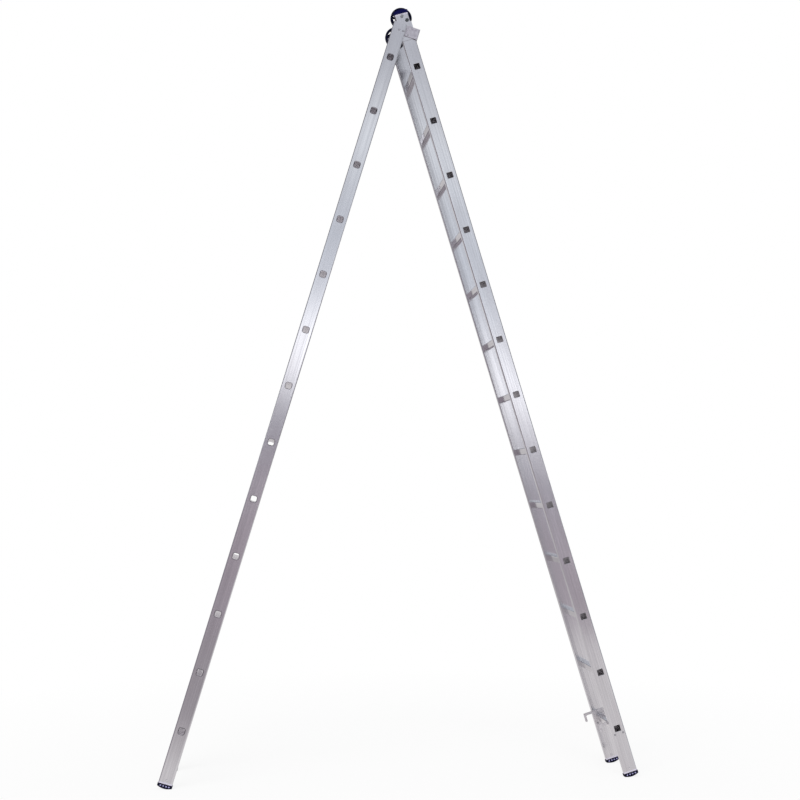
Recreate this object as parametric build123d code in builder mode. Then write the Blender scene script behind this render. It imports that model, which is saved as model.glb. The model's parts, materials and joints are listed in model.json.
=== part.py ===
# Two-section aluminium extension ladder, standing open as an A-frame.
# The base section leans to -X, the fly section to +X, and the rungs run along Y.
# Millimetres, +Z up, feet on Z = 0. The near side of the ladder is -Y.
from build123d import *

import os
from math import cos, radians, sin, sqrt, tan

os.makedirs("parts", exist_ok=True)

# Overall sizes
BASE_WIDTH = 445  # over the outer faces of the base stiles
LEAN = 16.76  # lean of each section from the vertical, degrees
RUNG_PITCH = 300
RUNG_COUNT = 13
BASE_HEAD_DROP = 40  # base stile top end, below the point where the two centre lines cross
BASE_TOP_GAP = 193  # base stile top end to the first base rung
BASE_BOTTOM_GAP = 268  # last base rung to the stile's bottom end
FLY_HEAD_RISE = 24  # fly stile top end, above the crossing point
FLY_RUNG_LAG = 35  # fly rungs sit this much further from the crossing than base rungs

# Stiles: hollow rectangular extrusions
BASE_STILE_DEPTH = 72
FLY_STILE_DEPTH = 72
STILE_THICKNESS = 25
STILE_WALL = 2
STILE_CORNER = 5

# Rungs: square tubes, swaged in the stiles
RUNG_SIZE = 34
RUNG_WALL = 1.6
BASE_RUNG_CORNER = 10
FLY_RUNG_CORNER = 5
RUNG_FIT = 0.1
MOUTH_FLARE = 1.2  # bevel inside the tube's open ends
GROOVE_COUNT = 4
GROOVE_WIDTH = 1.6
GROOVE_DEPTH = 0.5
GROOVE_PITCH = 3.2
BEAD_RISE = 1.6  # ring swelled in the tube against the inside of the stile
BEAD_LENGTH = 3
LIP_SPREAD = 1.6  # rim flared over the outside of the stile
BASE_LIP = 0.8
FLY_LIP = 0.3

# Feet and head caps: mouldings with a round end, plugged in the stile ends
CAP_RADIUS = 90
CAP_REACH = 22  # stile end to the crown of the round end, on the stile's centre line
CAP_OVERHANG = 2
CAP_SIDE = 1.5
CAP_CORNER = 4
CAP_EDGE = 1.5
FOOT_PLUG = 45
HEAD_PLUG = 28
PLUG_FIT = 0.15
TREAD_CUT = 0.5  # depth of the flat where the sole stands
STUD_COUNT = 4
STUD_PITCH = 14.5
STUD_RADIUS = 3.6
STUD_RISE = 0.8
STUD_DROP = 9
FOOT_RIVET_RISE = 20

# Rivets
RIVET_RADIUS = 3
RIVET_HEAD_RADIUS = 5.5
RIVET_HEAD_HEIGHT = 2.2
RIVET_CROWN = 1.7  # rounding of the head

# Guide brackets at the head of the base section
PLATE_THICKNESS = 4
PLATE_FRONT = 26  # reach of the plate in front of the base stile's centre line
PLATE_RISE = 6  # above the base stile's top end
PLATE_HEIGHT = 57
BEND_RADIUS = 4
FLANGE_REACH = 29  # bent flange, from the plate inwards
STOP_GAP = 0.3  # between the flange and the fly stile when fully open
BRACKET_RIVET_OFFSETS = (2, 24)
BRACKET_RIVET_DROP = 38

# Pivots and sliding guide shoes
NEST_GAP = 1.5  # between the base rungs and the fly stiles when the sections lie together
PIVOT_RADIUS = 4
PIVOT_FIT = 0.05
SWING_GAP = 0.5  # between the bracket plate and the shoe
SLIDE_GAP = 0.6  # between the shoe and the fly stile
SHOE_WALL = 3
SHOE_BELOW_PIVOT = 24
SHOE_GRIP = 18  # how far the shoe's sides reach over the fly stile's edges

# Stop bolts that rest on the guide shoes
STOP_OFFSET = 20  # behind the fly stile's centre line
STOP_RADIUS = 5
STOP_HEAD_FLATS = 18
STOP_HEAD_HEIGHT = 3.4
STOP_DROP = 17  # below the crossing point
STOP_NUT_FLATS = 16
STOP_NUT_HEIGHT = 6

# Wheels at the head of the fly section
WHEEL_RADIUS = 56.5
WHEEL_WIDTH = 26
RIM_DEPTH = 9
RIM_ROUND = 5
HUB_RADIUS = 14
HUB_WIDTH = 28
DISC_RADIUS = 33
DISC_WIDTH = 13
SPOKE_COUNT = 6
SPOKE_WIDTH = 9
SPOKE_TURN = -20  # first spoke, degrees from the back of the section
AXLE_DROP = 14  # axle below the fly stile's top end
AXLE_RADIUS = 5
AXLE_FIT = 0.05
BOLT_HEAD_FLATS = 15
BOLT_HEAD_HEIGHT = 5.5
NUT_FLATS = 16
NUT_HEIGHT = 8
BOLT_TAIL = 2
THREAD_FIT = 0.05
HEX_SIDES = 6
WASHER_RADIUS = 11
WASHER_THICKNESS = 1.5
HUB_PLAY = 0.3

# Hooks at the lowest fly rung
HOOK_THICKNESS = 5
HOOK_BACK = 33  # plate behind the stile's centre line
HOOK_ARM_RISE = 36  # arm's middle above the rung
HOOK_ARM_WIDTH = 13
HOOK_THROAT = 36  # clear width between the stile's front edge and the tip
HOOK_TIP_WIDTH = 12
HOOK_TIP_DROP = 4  # tip's end below the middle of the rung
HOOK_HEEL_DROP = 40
HOOK_SETBACK = 1  # plate behind the stile's front edge
HOOK_CORNER = 5
HOOK_FIT = 0.2
HOOK_RIVET_OFFSET = 22
HOOK_RIVET_DROP = 28

# Places worked out from the sizes above; "drop" is measured down a section from the crossing
lean = radians(LEAN)
spread = 2 * lean
first_base_rung = BASE_HEAD_DROP + BASE_TOP_GAP
base_rungs = [first_base_rung + RUNG_PITCH * i for i in range(RUNG_COUNT)]
fly_rungs = [drop + FLY_RUNG_LAG for drop in base_rungs]
stile_end = base_rungs[-1] + BASE_BOTTOM_GAP
sole_centre = stile_end + CAP_REACH - CAP_RADIUS
crossing_height = sole_centre * cos(lean) + CAP_RADIUS - TREAD_CUT
crossing_x = (BASE_STILE_DEPTH - FLY_STILE_DEPTH) / 4 * cos(lean)

base_outer = BASE_WIDTH / 2
base_inner = base_outer - STILE_THICKNESS
plate_inner = base_inner - PLATE_THICKNESS
shoe_outer = plate_inner - SWING_GAP
shoe_inner = shoe_outer - SHOE_WALL
fly_outer = shoe_inner - SLIDE_GAP
fly_inner = fly_outer - STILE_THICKNESS
fly_width = 2 * fly_outer

pivot_back = RUNG_SIZE / 2 + NEST_GAP + FLY_STILE_DEPTH / 2
pivot_drop_on_base = pivot_back / tan(spread)
pivot_drop_on_fly = pivot_back / sin(spread)
plate_top = BASE_HEAD_DROP - PLATE_RISE
plate_end = plate_top + PLATE_HEIGHT
flange_front = plate_end * tan(spread) + (FLY_STILE_DEPTH / 2 + STOP_GAP) / cos(spread)
flange_back = flange_front + PLATE_THICKNESS
shoe_top = STOP_DROP + STOP_HEAD_FLATS / sqrt(3) + STOP_GAP
shoe_end = pivot_drop_on_fly + SHOE_BELOW_PIVOT
hook_drop = fly_rungs[-1]

# Rivets and bolts on each section, as (back, drop)
foot_rivet = (0, stile_end - FOOT_RIVET_RISE)
bracket_rivets = [(back, BASE_HEAD_DROP + BRACKET_RIVET_DROP) for back in BRACKET_RIVET_OFFSETS]
hook_rivets = [(back, hook_drop + HOOK_RIVET_DROP) for back in (-HOOK_RIVET_OFFSET, HOOK_RIVET_OFFSET)]
axle = (0, AXLE_DROP - FLY_HEAD_RISE)
stop_bolt = (STOP_OFFSET, STOP_DROP)

# Axle stack, from the fly stile inwards
outer_washer = fly_inner
inner_washer = outer_washer - WASHER_THICKNESS - HUB_WIDTH - 2 * HUB_PLAY
axle_nut_seat = inner_washer - WASHER_THICKNESS
axle_length = fly_outer - axle_nut_seat + NUT_HEIGHT + BOLT_TAIL
stop_length = STILE_THICKNESS + STOP_NUT_HEIGHT
hub_middle = outer_washer - WASHER_THICKNESS - HUB_PLAY - HUB_WIDTH / 2

SIDES = {"near": -1, "far": 1}
UP, DOWN = 1, -1  # ways along a section


def section_plane(direction):
    """Section frame at the crossing: X to the back, Y across, Z up along the stiles."""
    return Plane(
        origin=(crossing_x, 0, crossing_height),
        x_dir=(cos(lean), 0, direction * sin(lean)),
        z_dir=(-direction * sin(lean), 0, cos(lean)),
    )


BASE = section_plane(-1)
FLY = section_plane(1)


def side_view(section, y):
    """Elevation of a section at y: X to the back, Y up along the stiles, normal to the near side."""
    return Plane(origin=section.origin + Vector(0, y, 0), x_dir=section.x_dir, z_dir=(0, -1, 0))


def outwards(side, amount):
    """Extrusion from a side view that goes away from the middle of the ladder."""
    return -side * amount


def spot(point):
    """Place on a side view of a (back, drop) point."""
    back, drop = point
    return (back, -drop)


def save(builder, name):
    """Label a finished piece and write it to its own file."""
    builder.part.label = name
    export_step(builder.part, f"parts/{name}.step")


def make_stile(section, depth, outer, side, top, rungs, rung_corner, holes, name):
    """Hollow stile with rung holes through both walls and holes for its fasteners."""
    middle = side * (outer - STILE_THICKNESS / 2)
    bore_depth = depth - 2 * STILE_WALL
    bore_width = STILE_THICKNESS - 2 * STILE_WALL
    rung_hole = RUNG_SIZE + 2 * RUNG_FIT
    with BuildPart() as stile:
        with BuildSketch(section.offset(top)):
            with Locations((0, middle)):
                RectangleRounded(depth, STILE_THICKNESS, STILE_CORNER)
                RectangleRounded(bore_depth, bore_width, STILE_CORNER - STILE_WALL, mode=Mode.SUBTRACT)
        extrude(amount=-top - stile_end)
        with BuildSketch(side_view(section, middle)):
            with Locations(*[(0, -drop) for drop in rungs]):
                RectangleRounded(rung_hole, rung_hole, rung_corner + RUNG_FIT)
            for point, radius in holes:
                with Locations(spot(point)):
                    Circle(radius)
        extrude(amount=STILE_THICKNESS, both=True, mode=Mode.SUBTRACT)
    save(stile, name)


def make_rung(section, width, drop, corner, lip, bead_offset, name):
    """Square tube with a fluted tread, a flared rim at each end and a bead inside each stile."""
    bead = RUNG_SIZE + 2 * BEAD_RISE
    rim = RUNG_SIZE + 2 * LIP_SPREAD
    bore = RUNG_SIZE - 2 * RUNG_WALL
    with BuildPart() as rung:
        with BuildSketch(side_view(section, -width / 2)):
            with Locations((0, -drop)):
                RectangleRounded(RUNG_SIZE, RUNG_SIZE, corner)
                with GridLocations(GROOVE_PITCH, RUNG_SIZE, GROOVE_COUNT, 2):
                    Rectangle(GROOVE_WIDTH, 2 * GROOVE_DEPTH, mode=Mode.SUBTRACT)
        extrude(amount=-width)
        for side in SIDES.values():
            with BuildSketch(side_view(section, side * width / 2)):
                with Locations((0, -drop)):
                    RectangleRounded(rim, rim, corner + LIP_SPREAD)
            extrude(amount=outwards(side, lip))
            bead_face = width / 2 - STILE_THICKNESS - bead_offset
            with BuildSketch(side_view(section, side * bead_face)):
                with Locations((0, -drop)):
                    RectangleRounded(bead, bead, corner + BEAD_RISE)
            extrude(amount=outwards(side, -BEAD_LENGTH))
        with BuildSketch(side_view(section, 0)):
            with Locations((0, -drop)):
                RectangleRounded(bore, bore, corner - RUNG_WALL)
        extrude(amount=width, both=True, mode=Mode.SUBTRACT)
        mouths = rung.edges(Select.LAST).filter_by(Axis.Y, reverse=True)
        chamfer(mouths, MOUTH_FLARE)
    save(rung, name)


def make_cap(section, depth, outer, side, end, way, plug, hole, name):
    """Round-ended cap plugged in a stile end; one that points down is a foot, with studs and a flat."""
    middle = side * (outer - STILE_THICKNESS / 2)
    half = depth / 2 + CAP_OVERHANG
    half_width = STILE_THICKNESS / 2 + CAP_SIDE
    shoulder = end + way * (CAP_REACH - CAP_RADIUS + sqrt(CAP_RADIUS**2 - half**2))
    plug_depth = depth - 2 * (STILE_WALL + PLUG_FIT)
    plug_width = STILE_THICKNESS - 2 * (STILE_WALL + PLUG_FIT)
    hole_point, hole_radius = hole
    with BuildPart() as cap:
        with BuildSketch(side_view(section, middle)) as profile:
            with BuildLine():
                Polyline((-half, shoulder), (-half, end), (half, end), (half, shoulder))
                ThreePointArc((-half, shoulder), (0, end + way * CAP_REACH), (half, shoulder))
            make_face()
            ends = profile.vertices().group_by(Axis.Y)[::way]
            fillet(ends[-1], CAP_CORNER)
            fillet(ends[0], CAP_EDGE)
        extrude(amount=half_width, both=True)
        with BuildSketch(section.offset(end)):
            with Locations((0, middle)):
                RectangleRounded(plug_depth, plug_width, STILE_CORNER - STILE_WALL)
        extrude(amount=-way * plug)
        if way == DOWN:
            with BuildSketch(side_view(section, middle)):
                with Locations((0, end - STUD_DROP)):
                    with GridLocations(STUD_PITCH, 0, STUD_COUNT, 1):
                        Circle(STUD_RADIUS)
            extrude(amount=half_width + STUD_RISE, both=True)
            split(bisect_by=Plane.XY, keep=Keep.TOP)
        with BuildSketch(side_view(section, middle)):
            with Locations(spot(hole_point)):
                Circle(hole_radius)
        extrude(amount=STILE_THICKNESS, both=True, mode=Mode.SUBTRACT)
    save(cap, name)


def make_rivets(section, points, head_face, tail_face, tail_head, name):
    """Rivets on both sides of the ladder, with round heads outside and, if asked, inside."""
    spots = [spot(point) for point in points]
    with BuildPart() as rivets:
        for side in SIDES.values():
            with BuildSketch(side_view(section, side * tail_face)):
                with Locations(*spots):
                    Circle(RIVET_RADIUS)
            extrude(amount=outwards(side, head_face - tail_face))
            faces = [(head_face, RIVET_HEAD_HEIGHT)]
            if tail_head:
                faces.append((tail_face, -RIVET_HEAD_HEIGHT))
            for face, height in faces:
                with BuildSketch(side_view(section, side * face)):
                    with Locations(*spots):
                        Circle(RIVET_HEAD_RADIUS)
                extrude(amount=outwards(side, height))
                rims = rivets.edges(Select.LAST).filter_by(GeomType.CIRCLE)
                rims = rims.sort_by(lambda edge: side * height * edge.center().Y)
                fillet(rims[-len(spots):], RIVET_CROWN)
    save(rivets, name)


def make_bracket(side, name):
    """Plate riveted inside a base stile, with a flange bent in behind the fly stile."""
    flange_end = side * (plate_inner - FLANGE_REACH)
    with BuildPart() as bracket:
        with BuildSketch(BASE.offset(-plate_top)) as bend:
            with BuildLine():
                Polyline(
                    (-PLATE_FRONT, side * base_inner),
                    (flange_back, side * base_inner),
                    (flange_back, flange_end),
                    (flange_front, flange_end),
                    (flange_front, side * plate_inner),
                    (-PLATE_FRONT, side * plate_inner),
                    close=True,
                )
            make_face()
            outer_bend = bend.vertices().group_by(Axis.X)[-1].sort_by(lambda v: abs(v.Y))[-1]
            fillet(outer_bend, BEND_RADIUS)
        extrude(amount=-PLATE_HEIGHT)
        with BuildSketch(side_view(BASE, side * base_inner)):
            with Locations(*[spot(point) for point in bracket_rivets]):
                Circle(RIVET_RADIUS)
            with Locations((pivot_back, -pivot_drop_on_base)):
                Circle(PIVOT_RADIUS)
        extrude(amount=2 * PLATE_THICKNESS, both=True, mode=Mode.SUBTRACT)
    save(bracket, name)


def make_shoe(side, name):
    """Channel round the outer face and both edges of a fly stile, free to turn on its pivot."""
    channel_depth = FLY_STILE_DEPTH + 2 * (SLIDE_GAP + SHOE_WALL)
    slot_depth = FLY_STILE_DEPTH + 2 * SLIDE_GAP
    channel_end = fly_outer - SHOE_GRIP
    with BuildPart() as shoe:
        with BuildSketch(FLY.offset(-shoe_top)):
            with Locations((0, side * (shoe_outer + channel_end) / 2)):
                Rectangle(channel_depth, shoe_outer - channel_end)
            with Locations((0, side * (shoe_inner + channel_end) / 2)):
                Rectangle(slot_depth, shoe_inner - channel_end, mode=Mode.SUBTRACT)
        extrude(amount=shoe_top - shoe_end)
        with BuildSketch(side_view(FLY, side * shoe_outer)):
            with Locations((0, -pivot_drop_on_fly)):
                Circle(PIVOT_RADIUS + PIVOT_FIT)
        extrude(amount=2 * SHOE_WALL, both=True, mode=Mode.SUBTRACT)
    save(shoe, name)


def make_hook(side, name):
    """Flat hook on the inside of a fly stile, round the lowest rung, with its tip hanging in front."""
    front = -FLY_STILE_DEPTH / 2
    tip_back = front - HOOK_THROAT
    tip_front = tip_back - HOOK_TIP_WIDTH
    arm_top = -hook_drop + HOOK_ARM_RISE + HOOK_ARM_WIDTH / 2
    arm_under = arm_top - HOOK_ARM_WIDTH
    tip_end = -hook_drop - HOOK_TIP_DROP
    heel = -hook_drop - HOOK_HEEL_DROP
    rung_hole = RUNG_SIZE + 2 * HOOK_FIT
    with BuildPart() as hook:
        with BuildSketch(side_view(FLY, side * fly_inner)) as plate:
            with BuildLine():
                Polyline(
                    (tip_front, arm_top),
                    (HOOK_BACK, arm_top),
                    (HOOK_BACK, heel),
                    (front + HOOK_SETBACK, heel),
                    (front + HOOK_SETBACK, arm_under),
                    (tip_back, arm_under),
                    (tip_back, tip_end),
                    (tip_front, tip_end),
                    close=True,
                )
            make_face()
            fillet(plate.vertices(), HOOK_CORNER)
            with Locations((0, -hook_drop)):
                RectangleRounded(rung_hole, rung_hole, FLY_RUNG_CORNER + HOOK_FIT, mode=Mode.SUBTRACT)
            with Locations(*[spot(point) for point in hook_rivets]):
                Circle(RIVET_RADIUS, mode=Mode.SUBTRACT)
        extrude(amount=outwards(side, -HOOK_THICKNESS))
    save(hook, name)


def make_wheel(side, name):
    """Moulded wheel: rounded rim, six spokes, a thick disc and a bored hub."""
    middle = side_view(FLY, side * hub_middle)
    rim_inside = WHEEL_RADIUS - RIM_DEPTH
    spoke_length = WHEEL_RADIUS - RIM_DEPTH / 2
    with BuildPart() as wheel:
        with BuildSketch(middle):
            with Locations(spot(axle)):
                Circle(WHEEL_RADIUS)
                Circle(rim_inside, mode=Mode.SUBTRACT)
        extrude(amount=WHEEL_WIDTH / 2, both=True)
        tread_edges = wheel.edges().filter_by(GeomType.CIRCLE).group_by(SortBy.RADIUS)[-1]
        fillet(tread_edges, RIM_ROUND)
        with BuildSketch(middle):
            with Locations(spot(axle)):
                Circle(DISC_RADIUS)
                with PolarLocations(spoke_length / 2, SPOKE_COUNT, start_angle=SPOKE_TURN):
                    Rectangle(spoke_length, SPOKE_WIDTH)
        extrude(amount=DISC_WIDTH / 2, both=True)
        with BuildSketch(middle):
            with Locations(spot(axle)):
                Circle(HUB_RADIUS)
        extrude(amount=HUB_WIDTH / 2, both=True)
        with BuildSketch(middle):
            with Locations(spot(axle)):
                Circle(AXLE_RADIUS + AXLE_FIT)
        extrude(amount=HUB_WIDTH, both=True, mode=Mode.SUBTRACT)
    save(wheel, name)


def make_bolts(point, radius, flats, head, length, name):
    """Hexagon-headed bolts through both fly stiles, heads outside."""
    with BuildPart() as bolts:
        for side in SIDES.values():
            with BuildSketch(side_view(FLY, side * fly_outer)):
                with Locations(spot(point)):
                    RegularPolygon(flats / 2, HEX_SIDES, major_radius=False)
            extrude(amount=outwards(side, head))
            with BuildSketch(side_view(FLY, side * fly_outer)):
                with Locations(spot(point)):
                    Circle(radius)
            extrude(amount=outwards(side, -length))
    save(bolts, name)


def make_nuts(point, radius, flats, height, seat, name):
    """Hexagon nuts on the inner ends of a pair of bolts."""
    with BuildPart() as nuts:
        for side in SIDES.values():
            with BuildSketch(side_view(FLY, side * seat)):
                with Locations(spot(point)):
                    RegularPolygon(flats / 2, HEX_SIDES, major_radius=False)
                    Circle(radius + THREAD_FIT, mode=Mode.SUBTRACT)
            extrude(amount=outwards(side, -height))
    save(nuts, name)


def make_washers(seats, name):
    """Flat washers on the axle bolts, one on each side of each wheel hub."""
    with BuildPart() as washers:
        for side in SIDES.values():
            for seat in seats:
                with BuildSketch(side_view(FLY, side * seat)):
                    with Locations(spot(axle)):
                        Circle(WASHER_RADIUS)
                        Circle(AXLE_RADIUS + THREAD_FIT, mode=Mode.SUBTRACT)
                extrude(amount=outwards(side, -WASHER_THICKNESS))
    save(washers, name)


def make_pivot_pins(name):
    """Pins pressed in the bracket plates, on which the guide shoes turn."""
    with BuildPart() as pins:
        for side in SIDES.values():
            with BuildSketch(side_view(BASE, side * base_inner)):
                with Locations((pivot_back, -pivot_drop_on_base)):
                    Circle(PIVOT_RADIUS)
            extrude(amount=outwards(side, shoe_inner - base_inner))
    save(pins, name)


# Holes in the stiles and caps, as (point, radius)
foot_hole = (foot_rivet, RIVET_RADIUS)
axle_hole = (axle, AXLE_RADIUS + THREAD_FIT)
stop_hole = (stop_bolt, STOP_RADIUS + THREAD_FIT)
base_holes = [foot_hole] + [(point, RIVET_RADIUS) for point in bracket_rivets]
fly_holes = [foot_hole, axle_hole, stop_hole] + [(point, RIVET_RADIUS) for point in hook_rivets]

for place, side in SIDES.items():
    make_stile(
        BASE, BASE_STILE_DEPTH, base_outer, side, -BASE_HEAD_DROP, base_rungs,
        BASE_RUNG_CORNER, base_holes, f"base_stile_{place}",
    )
    make_stile(
        FLY, FLY_STILE_DEPTH, fly_outer, side, FLY_HEAD_RISE, fly_rungs,
        FLY_RUNG_CORNER, fly_holes, f"fly_stile_{place}",
    )
    make_cap(
        BASE, BASE_STILE_DEPTH, base_outer, side, -stile_end, DOWN, FOOT_PLUG, foot_hole, f"base_foot_{place}"
    )
    make_cap(
        FLY, FLY_STILE_DEPTH, fly_outer, side, -stile_end, DOWN, FOOT_PLUG, foot_hole, f"fly_foot_{place}"
    )
    make_cap(
        FLY, FLY_STILE_DEPTH, fly_outer, side, FLY_HEAD_RISE, UP, HEAD_PLUG, axle_hole, f"fly_cap_{place}"
    )
    make_bracket(side, f"guide_bracket_{place}")
    make_shoe(side, f"guide_shoe_{place}")
    make_hook(side, f"hook_{place}")
    make_wheel(side, f"wheel_{place}")

for number, (base_drop, fly_drop) in enumerate(zip(base_rungs, fly_rungs), start=1):
    bead_offset = HOOK_THICKNESS if number == RUNG_COUNT else 0
    make_rung(BASE, BASE_WIDTH, base_drop, BASE_RUNG_CORNER, BASE_LIP, 0, f"base_rung_{number:02}")
    make_rung(FLY, fly_width, fly_drop, FLY_RUNG_CORNER, FLY_LIP, bead_offset, f"fly_rung_{number:02}")

make_rivets(BASE, [foot_rivet], base_outer, base_inner, True, "base_foot_rivets")
make_rivets(FLY, [foot_rivet], fly_outer, fly_inner, True, "fly_foot_rivets")
make_rivets(BASE, bracket_rivets, base_outer, plate_inner, False, "bracket_rivets")
make_rivets(FLY, hook_rivets, fly_outer, fly_inner - HOOK_THICKNESS, True, "hook_rivets")
make_pivot_pins("guide_pivot_pins")
make_bolts(axle, AXLE_RADIUS, BOLT_HEAD_FLATS, BOLT_HEAD_HEIGHT, axle_length, "axle_bolts")
make_washers((outer_washer, inner_washer), "axle_washers")
make_nuts(axle, AXLE_RADIUS, NUT_FLATS, NUT_HEIGHT, axle_nut_seat, "axle_nuts")
make_bolts(stop_bolt, STOP_RADIUS, STOP_HEAD_FLATS, STOP_HEAD_HEIGHT, stop_length, "stop_bolts")
make_nuts(stop_bolt, STOP_RADIUS, STOP_NUT_FLATS, STOP_NUT_HEIGHT, fly_inner, "stop_nuts")
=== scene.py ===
import json
from math import atan2, cos, radians, sin, tau

import bmesh
import bpy
from mathutils import Matrix, Vector


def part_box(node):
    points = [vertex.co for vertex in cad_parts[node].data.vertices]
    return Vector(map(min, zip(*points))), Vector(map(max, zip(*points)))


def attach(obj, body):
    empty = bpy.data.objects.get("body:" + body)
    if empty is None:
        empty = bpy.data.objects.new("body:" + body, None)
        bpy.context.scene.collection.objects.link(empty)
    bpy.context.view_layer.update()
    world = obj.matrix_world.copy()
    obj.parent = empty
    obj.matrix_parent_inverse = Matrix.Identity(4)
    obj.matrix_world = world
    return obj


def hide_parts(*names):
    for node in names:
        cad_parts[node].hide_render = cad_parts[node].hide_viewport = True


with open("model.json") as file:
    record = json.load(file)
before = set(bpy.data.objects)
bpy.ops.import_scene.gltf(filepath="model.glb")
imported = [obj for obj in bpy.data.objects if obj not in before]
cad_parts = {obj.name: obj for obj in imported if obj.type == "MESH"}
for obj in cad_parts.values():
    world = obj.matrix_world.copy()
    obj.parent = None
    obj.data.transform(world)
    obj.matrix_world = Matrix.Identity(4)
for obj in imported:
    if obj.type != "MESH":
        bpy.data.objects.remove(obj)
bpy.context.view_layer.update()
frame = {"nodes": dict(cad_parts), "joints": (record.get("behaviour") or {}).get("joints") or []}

# Aluminium extension ladder standing open as an A-frame: looks, light and camera. Metres, +Z up.
MM = 0.001
nodes = frame["nodes"]
joints = {joint["name"]: joint for joint in frame["joints"]}
fly_up = Vector(joints["extend"]["axis"])
base_up = Vector((-fly_up.x, 0, fly_up.z))
lean = atan2(-fly_up.x, fly_up.z)
base_turn, fly_turn = (0, lean, 0), (0, -lean, 0)


# Material helpers

def linear(code):
    """Linear colour of an sRGB hex code."""
    parts = [int(code[i:i + 2], 16) / 255 for i in (1, 3, 5)]
    return (*[c / 12.92 if c <= 0.04045 else ((c + 0.055) / 1.055) ** 2.4 for c in parts], 1)


def add(tree, kind, inputs, **settings):
    """A node with its settings, and its inputs set or linked."""
    made = tree.nodes.new(kind)
    for name, value in settings.items():
        setattr(made, name, value)
    for name, value in inputs.items():
        if isinstance(value, bpy.types.NodeSocket):
            tree.links.new(value, made.inputs[name])
        else:
            made.inputs[name].default_value = value
    return made


def blank(name):
    """An empty node material with its output, and the piece's own coordinates."""
    material = bpy.data.materials.new(name)
    material.use_nodes = True
    tree = material.node_tree
    tree.nodes.clear()
    output = add(tree, "ShaderNodeOutputMaterial", {})
    place = add(tree, "ShaderNodeTexCoord", {}).outputs["Object"]
    return material, tree, output, place


def pattern(tree, place, across, along, low, high, turn=(0, 0, 0)):
    """Noise in features of a real size in mm, drawn out along the Z axis of turned coordinates."""
    scale = (1 / (across * MM), 1 / (across * MM), 1 / (along * MM))
    turned = add(tree, "ShaderNodeMapping", {"Vector": place, "Rotation": turn}, vector_type="TEXTURE")
    drawn = add(tree, "ShaderNodeMapping", {"Vector": turned.outputs[0], "Scale": scale})
    noise = add(tree, "ShaderNodeTexNoise", {"Vector": drawn.outputs[0], "Scale": 1, "Detail": 2})
    return add(tree, "ShaderNodeMapRange", {"Value": noise.outputs["Fac"], "From Min": 0.3, "From Max": 0.7,
                                            "To Min": low, "To Max": high}).outputs[0]


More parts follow.
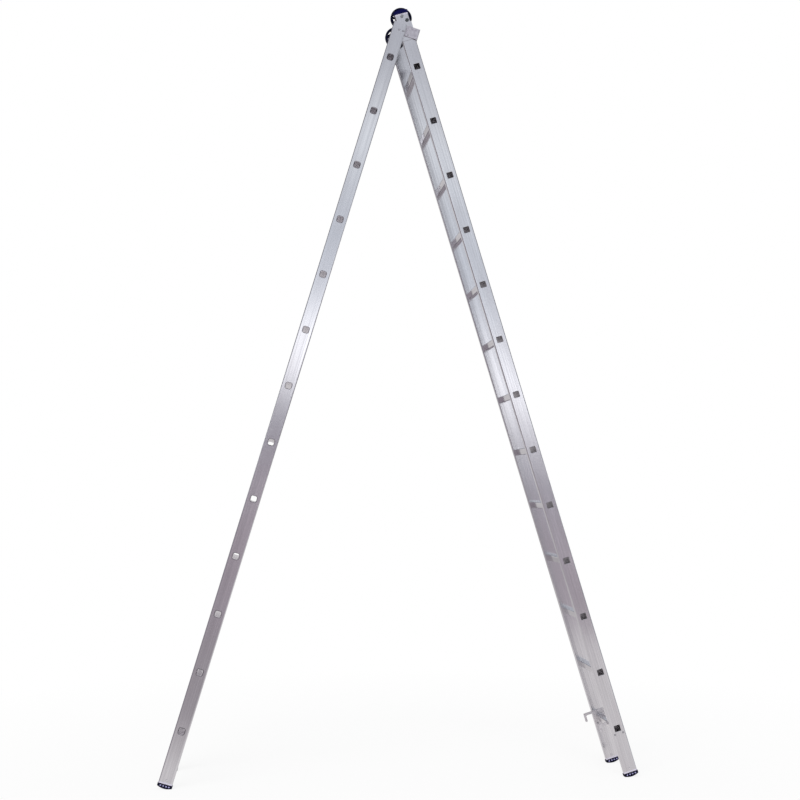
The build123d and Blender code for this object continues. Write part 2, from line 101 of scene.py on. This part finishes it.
def extruded_aluminium(name, turn, length, deep, pale, sawn=None, bores=None):
    """Mill-finish extrusion: die lines run its whole length and smear reflections across it."""
    material, tree, output, place = blank(name)
    # Real die lines are under a millimetre; these bands are as wide as the picture can show
    grain_turn = (radians(90), 0, 0) if bores else turn
    bands = pattern(tree, place, 7, 1500, 0, 1, grain_turn)
    smudges = pattern(tree, place, 60, 240, 0, 0.3, grain_turn)
    fine = pattern(tree, place, 1.6, 700, 0, 1, grain_turn)
    streaked = add(tree, "ShaderNodeMix", {0: bands, 6: linear(deep), 7: linear(pale)}, data_type="RGBA")
    tone = add(tree, "ShaderNodeMix", {0: smudges, 6: streaked.outputs[2], 7: linear("#bdbabd")},
               data_type="RGBA").outputs[2]
    rough = add(tree, "ShaderNodeMapRange", {"Value": bands, "To Min": 0.17, "To Max": 0.12}).outputs[0]
    metal = 1
    if sawn:
        # The sawn ends are scuffed matt and pale
        start, reach = sawn
        centred = add(tree, "ShaderNodeMapping", {"Vector": place, "Location": start, "Rotation": turn},
                      vector_type="TEXTURE")
        run = add(tree, "ShaderNodeSeparateXYZ", {"Vector": centred.outputs[0]}).outputs["Z"]
        away = add(tree, "ShaderNodeMath", {0: run}, operation="ABSOLUTE")
        scuffed = add(tree, "ShaderNodeMath", {0: away.outputs[0], 1: reach},
                      operation="GREATER_THAN").outputs[0]
        tone = add(tree, "ShaderNodeMix", {0: scuffed, 6: tone, 7: linear("#d5d1e0")},
                   data_type="RGBA").outputs[2]
        metal = add(tree, "ShaderNodeMapRange", {"Value": scuffed, "To Min": 1, "To Max": 0.25}).outputs[0]
    if bores:
        # The bore was never polished and dulls with oxide, and painted shade darkens the rim flared over the
        # stile
        first, pitch, half, face, dull, rim_shade = bores
        centred = add(tree, "ShaderNodeMapping", {"Vector": place, "Location": first, "Rotation": turn},
                      vector_type="TEXTURE")
        way = add(tree, "ShaderNodeSeparateXYZ", {"Vector": centred.outputs[0]})
        step = add(tree, "ShaderNodeMath", {0: way.outputs["Z"], 1: pitch / 2, 2: -pitch / 2},
                   operation="WRAP")
        fore = add(tree, "ShaderNodeMath", {0: way.outputs["X"]}, operation="ABSOLUTE")
        tall = add(tree, "ShaderNodeMath", {0: step.outputs[0]}, operation="ABSOLUTE")
        wall = add(tree, "ShaderNodeMath", {0: fore.outputs[0], 1: tall.outputs[0]}, operation="MAXIMUM")
        inside = add(tree, "ShaderNodeMath", {0: wall.outputs[0], 1: half}, operation="LESS_THAN").outputs[0]
        tone = add(tree, "ShaderNodeMix", {0: inside, 6: tone, 7: linear(dull)}, data_type="RGBA").outputs[2]
        # The flared rim gets the painted shade tone
        out = add(tree, "ShaderNodeMath", {0: way.outputs["Y"]}, operation="ABSOLUTE")
        rim = add(tree, "ShaderNodeMath", {0: out.outputs[0], 1: face}, operation="GREATER_THAN").outputs[0]
        tone = add(tree, "ShaderNodeMix", {0: rim, 6: tone, 7: linear(rim_shade)}, data_type="RGBA").outputs[2]
        rough = add(tree, "ShaderNodeMix", {0: inside, 2: rough, 3: 0.22}).outputs[0]
    lines = add(tree, "ShaderNodeBump", {"Height": fine, "Strength": 0.08, "Distance": 0.2 * MM})
    along = add(tree, "ShaderNodeVectorTransform", {"Vector": length}, vector_type="VECTOR",
                convert_from="OBJECT", convert_to="WORLD")
    shader = add(tree, "ShaderNodeBsdfPrincipled", {
        "Base Color": tone, "Metallic": metal, "Roughness": rough, "Normal": lines.outputs[0],
        "Anisotropic": 0.5, "Anisotropic Rotation": 0.25, "Tangent": along.outputs[0],
    })
    tree.links.new(shader.outputs[0], output.inputs[0])
    return material


def plate_metal(name, pale, dark, low, high):
    """Plated steel or rolled aluminium: a soft grey sheen with faint cloudy patches and a fine grit."""
    material, tree, output, place = blank(name)
    clouds = pattern(tree, place, 14, 14, 0, 1)
    grit = pattern(tree, place, 1.2, 1.2, 0, 1)
    tone = add(tree, "ShaderNodeMix", {0: clouds, 6: linear(pale), 7: linear(dark)}, data_type="RGBA")
    rough = add(tree, "ShaderNodeMapRange", {"Value": clouds, "To Min": low, "To Max": high})
    bump = add(tree, "ShaderNodeBump", {"Height": grit, "Strength": 0.1, "Distance": 0.1 * MM})
    shader = add(tree, "ShaderNodeBsdfPrincipled", {
        "Base Color": tone.outputs[2], "Metallic": 1, "Roughness": rough.outputs[0],
        "Normal": bump.outputs[0],
    })
    tree.links.new(shader.outputs[0], output.inputs[0])
    return material


def moulded_navy(name, deep, dusty, middle=None, proud=None):
    """Navy polypropylene, matt with a spark-eroded grain and dusty patches; the studs of a foot get a pale
    painted highlight.
    """
    material, tree, output, place = blank(name)
    grain = pattern(tree, place, 0.9, 0.9, 0, 1)
    dust = pattern(tree, place, 22, 22, 0, 0.5)
    tone = add(tree, "ShaderNodeMix", {0: dust, 6: linear(deep), 7: linear(dusty)},
               data_type="RGBA").outputs[2]
    if proud:
        y = add(tree, "ShaderNodeSeparateXYZ", {"Vector": place}).outputs["Y"]
        out = add(tree, "ShaderNodeMath", {0: y}, operation="ABSOLUTE")
        off = add(tree, "ShaderNodeMath", {0: out.outputs[0], 1: middle}, operation="SUBTRACT")
        away = add(tree, "ShaderNodeMath", {0: off.outputs[0]}, operation="ABSOLUTE")
        # Pale stud tops: a painted highlight
        stud_highlight = add(tree, "ShaderNodeMath", {0: away.outputs[0], 1: proud}, operation="GREATER_THAN")
        tone = add(tree, "ShaderNodeMix", {0: stud_highlight.outputs[0], 6: tone, 7: linear("#a19ec9")},
                   data_type="RGBA").outputs[2]
    rough = add(tree, "ShaderNodeMapRange", {"Value": grain, "To Min": 0.65, "To Max": 0.8})
    bump = add(tree, "ShaderNodeBump", {"Height": grain, "Strength": 0.25, "Distance": 0.15 * MM})
    shader = add(tree, "ShaderNodeBsdfPrincipled", {
        "Base Color": tone, "Roughness": rough.outputs[0], "IOR": 1.49, "Specular IOR Level": 0.15,
        "Normal": bump.outputs[0],
    })
    tree.links.new(shader.outputs[0], output.inputs[0])
    return material


def paint(names, material):
    """Give CAD nodes a finish."""
    for name in names:
        slots = nodes[name].data.materials
        slots.clear()
        slots.append(material)


def named(*starts):
    """The nodes whose names start so."""
    return [name for name in nodes if name.startswith(starts)]


def middle_of(node):
    """The middle of a node's box."""
    low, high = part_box(node)
    return (Vector(low) + Vector(high)) / 2


# Where a finish changes on a piece, in mm
SCUFFED_END = 8  # length of a scuffed sawn end
BORE_HALF = 16  # from a rung's middle to just inside its wall
FLARE_START = 0.05  # outside the stile's face
STUD_HEIGHT = 0.5  # top of a stud, which gets a painted highlight


def stile_metal(section, turn, up, capped_head):
    """Aluminium for the stiles of one section, scuffed where the sawn ends take a foot or a cap."""
    low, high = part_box(f"{section}_stile_far")
    # A leaning bar's box is length x cos + depth x sin tall, and length x sin + depth x cos wide
    width, height = high[0] - low[0], high[2] - low[2]
    length = (height * cos(lean) - width * sin(lean)) / cos(2 * lean)
    start, reach = middle_of(f"{section}_stile_far"), length / 2
    if not capped_head:
        start, reach = start + up * length / 2, length
    return extruded_aluminium(f"extruded_aluminium_{section}_stiles", turn, up, "#cfcfd3", "#e2e2e5",
                              sawn=(start, reach - SCUFFED_END * MM))


def rung_metal(section, turn, dull, rim_shade):
    """Aluminium for the rungs of one section, dull inside the bores and with painted shade on the flared
    rims.
    """
    first, second = (middle_of(f"{section}_rung_{i:02}") for i in (1, 2))
    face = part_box(f"{section}_stile_far")[1][1] + FLARE_START * MM
    pitch = (second - first).length
    return extruded_aluminium(f"extruded_aluminium_{section}_rungs", turn, (0, 1, 0), "#c6c5c8", "#dad9dc",
                              bores=(first, pitch, BORE_HALF * MM, face, dull, rim_shade))


def foot_plastic(section):
    """Navy for the feet of one section, with the studs found by how far they stand out sideways and given a
    painted highlight.
    """
    low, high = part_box(f"{section}_foot_far")
    return moulded_navy(f"moulded_navy_{section}_feet", "#07071c", "#141736",
                        (low[1] + high[1]) / 2, (high[1] - low[1]) / 2 - STUD_HEIGHT * MM)


# Pale and soft, as plate comes from the rolls
hook_plate = plate_metal("rolled_aluminium_plate", "#e6e4e6", "#d9d6d9", 0.45, 0.6)
# A little greyer and shinier than the stiles around it
bracket_steel = plate_metal("zinc_plated_pressed_steel", "#d3d0d5", "#c4c0c7", 0.36, 0.48)
# Set heads, toned darker than the stile as a painted reflection, so that they show as small grey dots
rivet_metal = plate_metal("headed_aluminium_rivets", "#b9b9bd", "#a6a6aa", 0.3, 0.42)
# Tumbled matt, so that they hardly show on the stile
pale_rivets = plate_metal("tumbled_aluminium_rivets", "#eae8ea", "#dedbde", 0.5, 0.65)
# Dull grey turned faces with a sheen
zinc_steel = plate_metal("zinc_plated_turned_steel", "#a4a5a6", "#8e9091", 0.3, 0.42)
# The dark matt coat makes one dark spot below each axle
dark_steel = plate_metal("phosphated_steel", "#7b8081", "#65696a", 0.5, 0.65)
# Nearly black on the wheels, and a clearer blue on the caps
wheel_navy = moulded_navy("moulded_navy_wheels", "#03051f", "#080b2e")
cap_navy = moulded_navy("moulded_navy_caps", "#02023c", "#090a4e")

paint(named("base_stile"), stile_metal("base", base_turn, base_up, capped_head=False))
paint(named("fly_stile", "guide_shoe"), stile_metal("fly", fly_turn, fly_up, capped_head=True))
# The dark rim tone of the base rungs is a painted shadow line round each bore
paint(named("base_rung"), rung_metal("base", base_turn, "#f2f0f3", "#8d8a90"))
paint(named("fly_rung"), rung_metal("fly", fly_turn, "#c4c2c5", "#cfcfd3"))
paint(named("base_foot_near", "base_foot_far"), foot_plastic("base"))
paint(named("fly_foot_near", "fly_foot_far"), foot_plastic("fly"))
paint(named("fly_cap"), cap_navy)
paint(named("hook_near", "hook_far"), hook_plate)
paint(named("guide_bracket"), bracket_steel)
paint(named("base_foot_rivets", "fly_foot_rivets"), pale_rivets)
paint(named("bracket_rivets", "hook_rivets"), rivet_metal)
paint(named("guide_pivot", "axle"), zinc_steel)
paint(named("stop"), dark_steel)


# Wheels, moulded in one with a thick rounded rim. Sizes are in mm, and profiles give (radius, side)

RIM = ((44, -10), (44, 10), (47, 13), (53, 13), (56.4, 9), (56.4, -9), (53, -13), (47, -13))
DISC = ((5.05, -14), (5.05, 14), (11, 14), (14, 7.5), (31, 6), (34, 4),
        (34, -4), (31, -6), (14, -7.5), (11, -14))
SPOKES = 6
SPOKE = (16, 12, 9)  # length, thickness and width
SPOKE_MIDDLE = 39  # from the axle
SPOKE_TURN = radians(3.2)  # the first spoke points back, just below level
SPIN_STEPS = 72
ROUNDED_FROM = radians(30)  # edges that turn more than this are rounded
ROUNDING = 1.2


def moulded_wheel(side):
    """Navy wheel of one side: a rounded rim and a dished disc, spun, joined by six short spokes."""
    shape = bmesh.new()
    for profile in (RIM, DISC):
        ring = [shape.verts.new((radius * MM, across * MM, 0)) for radius, across in profile]
        loop = [shape.edges.new(pair) for pair in zip(ring, ring[1:] + ring[:1])]
        bmesh.ops.spin(shape, geom=ring + loop, axis=(0, 1, 0), angle=tau, steps=SPIN_STEPS, use_merge=True)
    outward = Matrix.Translation((SPOKE_MIDDLE * MM, 0, 0))
    sized = Matrix.Diagonal((*[size * MM for size in SPOKE], 1))
    for step in range(SPOKES):
        turned = Matrix.Rotation(SPOKE_TURN + step * tau / SPOKES, 4, "Y")
        bmesh.ops.create_cube(shape, matrix=turned @ outward @ sized)
    bmesh.ops.remove_doubles(shape, verts=shape.verts, dist=0.001 * MM)
    bmesh.ops.recalc_face_normals(shape, faces=shape.faces)
    corners = [edge for edge in shape.edges if edge.calc_face_angle() > ROUNDED_FROM]
    bmesh.ops.bevel(shape, geom=corners, offset=ROUNDING * MM, segments=3, profile=0.5, affect="EDGES",
                    material=-1, clamp_overlap=True)
    for face in shape.faces:
        face.smooth = True
    node = f"wheel_{side}"
    bmesh.ops.translate(shape, vec=middle_of(node), verts=shape.verts)
    mesh = bpy.data.meshes.new(f"moulded_wheel_{side}")
    shape.to_mesh(mesh)
    shape.free()
    mesh.materials.append(wheel_navy)
    wheel = bpy.data.objects.new(f"moulded_wheel_{side}", mesh)
    bpy.context.scene.collection.objects.link(wheel)
    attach(wheel, node)
    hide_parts(node)


for side in ("near", "far"):
    moulded_wheel(side)


# Studio: white to the eye, while metal reflects graded tones with a bright band just above eye level

SOFT_LIGHT = (0.6, 0.6, 0.6, 1)
WHITE = (1, 1, 1, 1)
BAND_DIP = 0.2  # how far the band falls for each step to the right
BAND_GAIN = 2  # its tones are written at half strength
BAND_TONES = (  # from below to above
    (0.175, "#857f84"), (0.366, "#7f787e"), (0.462, "#857d83"), (0.51, "#8d868c"), (0.531, "#747078"),
    (0.566, "#706e76"), (0.591, "#d2d2d6"), (0.601, "#fafafc"), (0.623, "#fafafc"), (0.638, "#c8cacf"),
    (0.668, "#9fa3aa"), (0.72, "#9ea2a9"), (0.787, "#c2c5c8"), (0.838, "#85878e"), (0.921, "#a9aab0"))
FLOOR_RADIUS = 7
CAMERA_PLACE = (-0.72, -6.9, 1.4879)


def studio_world():
    """White for the camera and through glass, graded tones for metal, and an even soft light for the rest."""
    world = bpy.data.worlds.new("studio")
    bpy.context.scene.world = world
    world.use_nodes = True
    tree = world.node_tree
    tree.nodes.clear()
    path = add(tree, "ShaderNodeLightPath", {})
    seen = add(tree, "ShaderNodeMath", {0: path.outputs["Is Camera Ray"],
                                        1: path.outputs["Is Transmission Ray"]}, operation="MAXIMUM")
    direction = add(tree, "ShaderNodeTexCoord", {}).outputs["Generated"]
    way = add(tree, "ShaderNodeSeparateXYZ", {"Vector": direction})
    # The band lies lower to the right
    height = add(tree, "ShaderNodeMath", {0: way.outputs["X"], 1: BAND_DIP, 2: way.outputs["Z"]},
                 operation="MULTIPLY_ADD")
    level = add(tree, "ShaderNodeMapRange", {"Value": height.outputs[0], "From Min": -0.5, "From Max": 0.5})
    ramp = add(tree, "ShaderNodeValToRGB", {"Fac": level.outputs[0]})
    elements = ramp.color_ramp.elements
    while len(elements) < len(BAND_TONES):
        elements.new(0.5)
    for element, (at, code) in zip(elements, BAND_TONES):
        element.position = at
        element.color = [BAND_GAIN * c for c in linear(code)]
    # A lit patch low on the right brightens the foot of that leg
    slant = add(tree, "ShaderNodeMath", {0: way.outputs["X"], 1: way.outputs["Z"]}, operation="SUBTRACT")
    patch = add(tree, "ShaderNodeMapRange", {"Value": slant.outputs[0], "From Min": 0.341, "From Max": 0.427,
                                             "To Max": 0.8})
    front = add(tree, "ShaderNodeMix", {0: patch.outputs[0], 6: ramp.outputs[0], 7: linear("#e0dcdd")},
                data_type="RGBA").outputs[2]
    # Grey flags to both sides draw the rounded edges of the stiles, and past them the band shows again
    aside = add(tree, "ShaderNodeMath", {0: way.outputs["X"]}, operation="ABSOLUTE")
    flag = add(tree, "ShaderNodeMapRange", {"Value": aside.outputs[0], "From Min": 0.35, "From Max": 0.6})
    flagged = add(tree, "ShaderNodeMix", {0: flag.outputs[0], 6: front, 7: linear("#807e85")},
                  data_type="RGBA")
    end_on = add(tree, "ShaderNodeMapRange", {"Value": aside.outputs[0], "From Min": 0.85, "From Max": 0.97,
                                              "To Max": 0.8})
    sides = add(tree, "ShaderNodeMix", {0: end_on.outputs[0], 6: flagged.outputs[2], 7: ramp.outputs[0]},
                data_type="RGBA")
    # Behind the ladder a pale backdrop goes dark high up, and greyer below eye level
    above = add(tree, "ShaderNodeMapRange", {"Value": way.outputs["Z"], "From Min": 0.14, "From Max": 0.26})
    upper = add(tree, "ShaderNodeMix", {0: above.outputs[0], 6: linear("#d8d5d7"), 7: linear("#525158")},
                data_type="RGBA")
    below = add(tree, "ShaderNodeMapRange", {"Value": way.outputs["Z"], "From Min": -0.12, "From Max": -0.22})
    backdrop = add(tree, "ShaderNodeMix", {0: below.outputs[0], 6: upper.outputs[2], 7: linear("#86848a")},
                   data_type="RGBA")
    behind = add(tree, "ShaderNodeMapRange", {"Value": way.outputs["Y"], "From Min": 0.3, "From Max": 0.9})
    around = add(tree, "ShaderNodeMix", {0: behind.outputs[0], 6: sides.outputs[2], 7: backdrop.outputs[2]},
                 data_type="RGBA")
    glossy = add(tree, "ShaderNodeMix", {0: path.outputs["Is Glossy Ray"], 6: SOFT_LIGHT,
                                         7: around.outputs[2]}, data_type="RGBA")
    colour = add(tree, "ShaderNodeMix", {0: seen.outputs[0], 6: glossy.outputs[2], 7: WHITE},
                 data_type="RGBA")
    background = add(tree, "ShaderNodeBackground", {"Color": colour.outputs[2], "Strength": 1})
    add(tree, "ShaderNodeOutputWorld", {"Surface": background.outputs[0]})


def studio_light():
    """One broad soft light from the front, high on the left."""
    lamp = bpy.data.lights.new("key", "SUN")
    lamp.energy = 1.5
    lamp.angle = radians(50)
    key = bpy.data.objects.new("key", lamp)
    key.rotation_euler = (radians(48), 0, radians(-25))
    # Mirrored, it would draw a white strip on the stiles
    key.visible_glossy = False
    bpy.context.scene.collection.objects.link(key)


def studio_floor():
    """Pale paper floor that keeps a soft shadow and fades to the white background."""
    mesh = bpy.data.meshes.new("floor")
    shape = bmesh.new()
    bmesh.ops.create_circle(shape, cap_ends=True, segments=96, radius=FLOOR_RADIUS)
    shape.to_mesh(mesh)
    shape.free()
    floor = bpy.data.objects.new("floor", mesh)
    bpy.context.scene.collection.objects.link(floor)
    material, tree, output, place = blank("pale_paper_floor")
    distance = add(tree, "ShaderNodeVectorMath", {0: place}, operation="LENGTH").outputs["Value"]
    fade = add(tree, "ShaderNodeMapRange", {"Value": distance, "From Min": 1.6, "From Max": 4,
                                            "To Min": 0.84, "To Max": 1})
    path = add(tree, "ShaderNodeLightPath", {})
    seen = add(tree, "ShaderNodeMath", {0: fade.outputs[0], 1: path.outputs["Is Camera Ray"]},
               operation="MULTIPLY")
    paper = add(tree, "ShaderNodeBsdfDiffuse", {"Color": linear("#f8f8f8")})
    white = add(tree, "ShaderNodeEmission", {"Color": WHITE, "Strength": 1})
    lit = add(tree, "ShaderNodeMixShader", {0: seen.outputs[0], 1: paper.outputs[0], 2: white.outputs[0]})
    # Metal sees the floor pale, and dimmer well in front of the ladder on the left
    pale = linear("#e6e2e3")
    spot = add(tree, "ShaderNodeSeparateXYZ", {"Vector": place})
    right = add(tree, "ShaderNodeMapRange", {"Value": spot.outputs["X"], "From Min": -0.9, "From Max": 1.3})
    tint = add(tree, "ShaderNodeMix", {0: right.outputs[0], 6: linear("#b0a9ae"), 7: pale}, data_type="RGBA")
    close = add(tree, "ShaderNodeMapRange", {"Value": spot.outputs["Y"], "From Min": -2.4, "From Max": -0.7})
    toned = add(tree, "ShaderNodeMix", {0: close.outputs[0], 6: tint.outputs[2], 7: pale}, data_type="RGBA")
    # It is dimmer again far behind on the left, where the lowest bores look out
    shade = add(tree, "ShaderNodeMix", {0: right.outputs[0], 6: linear("#9a969b"), 7: pale}, data_type="RGBA")
    beyond = add(tree, "ShaderNodeMapRange", {"Value": spot.outputs["Y"], "From Min": 0.8, "From Max": 2})
    shaded = add(tree, "ShaderNodeMix", {0: beyond.outputs[0], 6: toned.outputs[2], 7: shade.outputs[2]},
                 data_type="RGBA")
    dim = add(tree, "ShaderNodeEmission", {"Color": shaded.outputs[2], "Strength": 1})
    both = add(tree, "ShaderNodeMixShader", {0: path.outputs["Is Glossy Ray"], 1: lit.outputs[0],
                                             2: dim.outputs[0]})
    tree.links.new(both.outputs[0], output.inputs[0])
    mesh.materials.append(material)


def photo_camera():
    """Camera fitted to the rung ends, stile edges and feet in the photograph of 800 by 800 pixels."""
    picture, focal = 800, 1312.1  # in pixels
    yaw, pitch = radians(6.015), radians(3.812)
    forward = Vector((sin(yaw) * cos(pitch), cos(yaw) * cos(pitch), sin(pitch)))
    right = Vector((cos(yaw), -sin(yaw), 0))
    up = right.cross(forward)
    data = bpy.data.cameras.new("camera")
    data.lens = focal * data.sensor_width / picture
    camera = bpy.data.objects.new("camera", data)
    turned = Matrix((right, up, -forward)).transposed().to_4x4()
    camera.matrix_world = Matrix.Translation(CAMERA_PLACE) @ turned
    bpy.context.scene.collection.objects.link(camera)
    bpy.context.scene.camera = camera


studio_world()
studio_light()
studio_floor()
photo_camera()
bpy.context.scene.view_settings.view_transform = "Standard"
